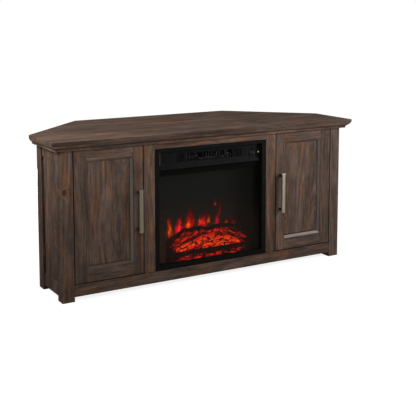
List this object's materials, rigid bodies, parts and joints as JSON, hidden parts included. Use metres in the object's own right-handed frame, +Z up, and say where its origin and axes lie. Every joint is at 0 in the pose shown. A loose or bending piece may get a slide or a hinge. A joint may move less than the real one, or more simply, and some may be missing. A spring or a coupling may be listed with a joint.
{
  "type": "fireplace tv stand",
  "caption": "Corner television stand with slanted back, a cupboard with a framed door on each side and an electric fireplace insert in the middle.",
  "frame": {"origin": "on the floor, under the middle of the top's overall width and depth", "axes": "+X to the viewer's right along the front, +Y from the front towards the back, +Z up"},
  "size_m": [1.213, 0.5014, 0.538],
  "materials": {
    "walnut": "matt dark walnut laminate with visible grain and knots",
    "dark_board": "matt dark laminate",
    "hardboard": "matt dark hardboard",
    "pull_metal": "satin olive grey",
    "hinge_steel": "nickel plated",
    "black_sheet": "satin black paint",
    "black_plastic": "satin black",
    "switch_plastic": "semi gloss black",
    "smoked_glass": "polished, smoked",
    "flame_glass": "satin dark screen with projected flames",
    "bare_steel": "bare",
    "ember_resin": "moulded resin, lit from within",
    "amber_lens": "clear amber"
  },
  "bodies": {
    "stand": {"top_board": "walnut", "moulding_front": "walnut", "moulding_left": "walnut", "moulding_right": "walnut", "leg_front_left": "walnut", "leg_front_right": "walnut", "leg_end_left": "walnut", "leg_end_right": "walnut", "leg_back_left": "walnut", "leg_back_right": "walnut", "end_panel_left": "walnut", "end_panel_right": "walnut", "front_rail_bottom": "walnut", "front_rail_top": "walnut", "front_stile_left": "walnut", "front_stile_right": "walnut", "partition_left": "dark_board", "partition_right": "dark_board", "floor_panel": "dark_board", "back_panel_left": "dark_board", "back_panel_right": "dark_board", "back_panel_centre": "hardboard", "shelf_left": "dark_board", "shelf_right": "dark_board", "hinge_arm_left_lower": "hinge_steel", "hinge_arm_left_upper": "hinge_steel", "hinge_arm_right_lower": "hinge_steel", "hinge_arm_right_upper": "hinge_steel", "insert_trim": "black_sheet", "insert_header": "black_plastic", "outlet_grille": "black_sheet", "insert_glass": "smoked_glass", "insert_housing": "black_sheet", "heater_element": "bare_steel", "blower_motor": "bare_steel", "log_set": "ember_resin", "flame_screen": "flame_glass", "spindle_motor": "bare_steel", "indicator_lens": "amber_lens", "power_inlet": "black_plastic"},
    "door_left": {"door_left_hinge_stile": "walnut", "door_left_handle_stile": "walnut", "door_left_rail_bottom": "walnut", "door_left_rail_top": "walnut", "door_left_panel": "walnut", "door_left_handle": "pull_metal", "hinge_cup_left_lower": "hinge_steel", "hinge_cup_left_upper": "hinge_steel"},
    "door_right": {"door_right_hinge_stile": "walnut", "door_right_handle_stile": "walnut", "door_right_rail_bottom": "walnut", "door_right_rail_top": "walnut", "door_right_panel": "walnut", "door_right_handle": "pull_metal", "hinge_cup_right_lower": "hinge_steel", "hinge_cup_right_upper": "hinge_steel"},
    "blower_rotor": {"blower_wheel": "black_plastic"},
    "flame_rotor": {"flame_spindle": "bare_steel"},
    "power_key": {"switch_power": "switch_plastic"},
    "heat_key": {"switch_heat": "switch_plastic"}
  },
  "joints": [
    {"name": "door_left_swing", "type": "hinge", "parent": "stand", "child": "door_left", "pos_m": [-0.5253, -0.22075, 0.28], "axis": [0, 0, -1], "range_deg": [0, 105]},
    {"name": "door_right_swing", "type": "hinge", "parent": "stand", "child": "door_right", "pos_m": [0.5253, -0.22075, 0.28], "axis": [0, 0, 1], "range_deg": [0, 105]},
    {"name": "blower_spin", "type": "hinge", "parent": "stand", "child": "blower_rotor", "pos_m": [0, -0.14295, 0.44965], "axis": [1, 0, 0], "continuous": true},
    {"name": "flame_spin", "type": "hinge", "parent": "stand", "child": "flame_rotor", "pos_m": [0, -0.11365, 0.1089], "axis": [1, 0, 0], "continuous": true},
    {"name": "power_rock", "type": "hinge", "parent": "stand", "child": "power_key", "pos_m": [0.1732, -0.20095, 0.4434], "axis": [1, 0, 0], "range_deg": [0, 16]},
    {"name": "heat_rock", "type": "hinge", "parent": "stand", "child": "heat_key", "pos_m": [0.1848, -0.20095, 0.4434], "axis": [1, 0, 0], "range_deg": [0, 16]}
  ]
}
